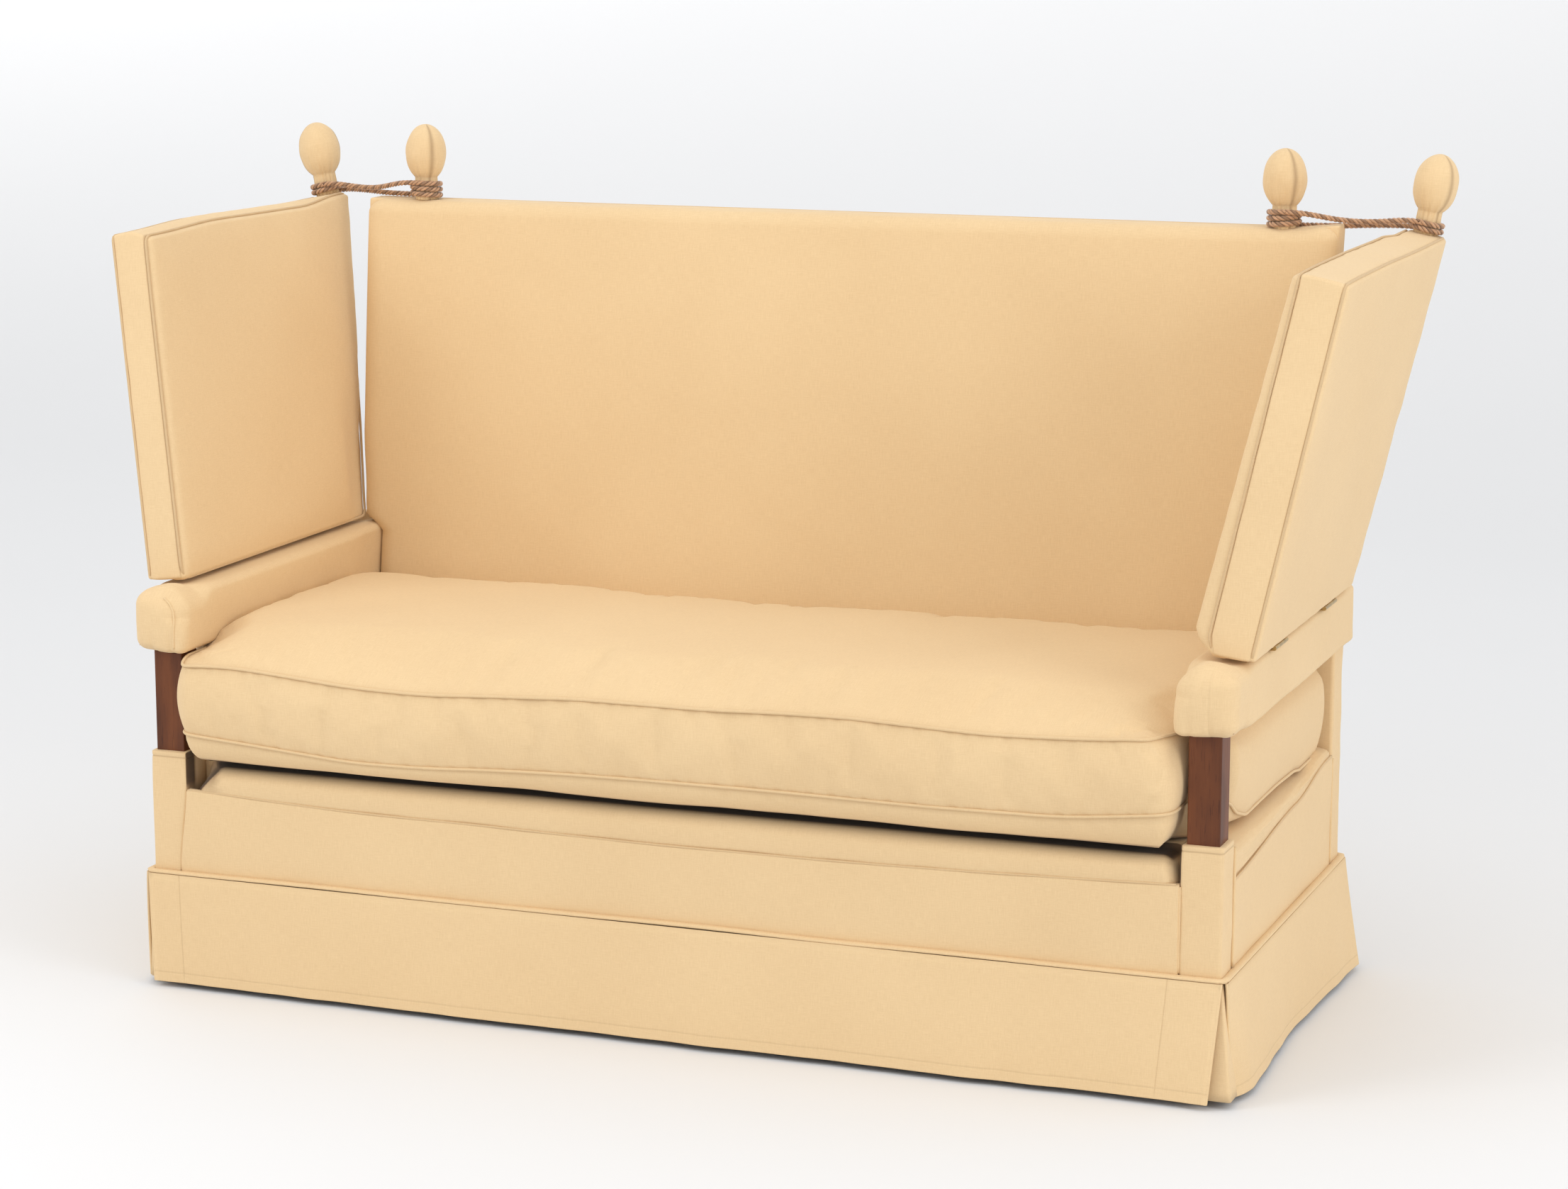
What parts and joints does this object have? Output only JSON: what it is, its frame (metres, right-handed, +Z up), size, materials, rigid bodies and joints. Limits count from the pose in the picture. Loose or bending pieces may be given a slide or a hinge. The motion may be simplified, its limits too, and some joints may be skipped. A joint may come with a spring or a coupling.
{
  "type": "knole sofa",
  "caption": "Knole sofa in pale gold cloth: high straight back, tall drop arms tied to the back's finials by twisted cord, one long seat cushion and a kick pleat skirt.",
  "frame": {"origin": "on the floor, under the middle of the sofa's overall box", "axes": "+X along the sofa's length towards its own left arm as a sitter has it, -Y towards the front, +Z up"},
  "size_m": [1.9058, 0.8475, 1.235],
  "materials": {
    "upholstery_fabric": "matte",
    "lining_cloth": "matte",
    "mahogany": "satin",
    "beech": "matte",
    "twisted_cord": "satin",
    "hinge_brass": "satin",
    "eye_iron": "matte",
    "spring_steel": "satin",
    "glide_steel": "satin"
  },
  "bodies": {
    "base": {"arm_rail_cores": "beech", "back_border": "upholstery_fabric", "back_centre_stud": "beech", "back_finial_cores": "beech", "back_finial_covers": "upholstery_fabric", "back_lower_rail": "beech", "back_stiles": "beech", "back_top_rail": "beech", "corner_blocks": "beech", "dust_cover": "lining_cloth", "foot_glides": "glide_steel", "front_border": "upholstery_fabric", "front_post_covers": "upholstery_fabric", "front_seat_rail": "beech", "front_skirt": "upholstery_fabric", "hinge_fixed_leaves": "hinge_brass", "hinge_pins": "hinge_brass", "inside_back_pad": "upholstery_fabric", "left_arm_rail_pad": "upholstery_fabric", "left_back_cord_winding": "twisted_cord", "left_cord_span": "twisted_cord", "left_front_post": "mahogany", "left_seat_rail": "beech", "left_skirt": "upholstery_fabric", "outside_back_panel": "upholstery_fabric", "pleat_inserts": "upholstery_fabric", "rear_post_covers": "upholstery_fabric", "rear_posts": "beech", "rear_seat_rail": "beech", "rear_skirt": "upholstery_fabric", "right_arm_rail_pad": "upholstery_fabric", "right_back_cord_winding": "twisted_cord", "right_cord_span": "twisted_cord", "right_front_post": "mahogany", "right_seat_rail": "beech", "right_skirt": "upholstery_fabric", "seat_cross_rail": "beech", "seat_deck_pad": "upholstery_fabric", "seat_springs": "spring_steel", "side_borders": "upholstery_fabric", "skirt_welt": "upholstery_fabric"},
    "left_arm": {"left_arm_frame": "beech", "left_arm_inside_pad": "upholstery_fabric", "left_arm_outside_panel": "upholstery_fabric", "left_arm_border": "upholstery_fabric", "left_arm_eye": "eye_iron", "left_arm_finial_core": "beech", "left_arm_finial_cover": "upholstery_fabric", "left_arm_cord_winding": "twisted_cord", "left_hinge_moving_leaves": "hinge_brass"},
    "right_arm": {"right_arm_frame": "beech", "right_arm_inside_pad": "upholstery_fabric", "right_arm_outside_panel": "upholstery_fabric", "right_arm_border": "upholstery_fabric", "right_arm_eye": "eye_iron", "right_arm_finial_core": "beech", "right_arm_finial_cover": "upholstery_fabric", "right_arm_cord_winding": "twisted_cord", "right_hinge_moving_leaves": "hinge_brass"},
    "cushion": {"seat_cushion": "upholstery_fabric"}
  },
  "joints": [
    {"name": "left_arm_drop", "type": "hinge", "parent": "base", "child": "left_arm", "pos_m": [-0.84, 0, 0.6], "axis": [0, -1, 0], "range_deg": [-5, 80], "deforming": ["left_cord_span"]},
    {"name": "right_arm_drop", "type": "hinge", "parent": "base", "child": "right_arm", "pos_m": [0.84, 0, 0.6], "axis": [0, 1, 0], "range_deg": [-5, 80], "deforming": ["right_cord_span"]},
    {"name": "cushion_slide", "type": "slide", "parent": "base", "child": "cushion", "axis": [0, -1, 0], "range_m": [0, 0.65]}
  ]
}
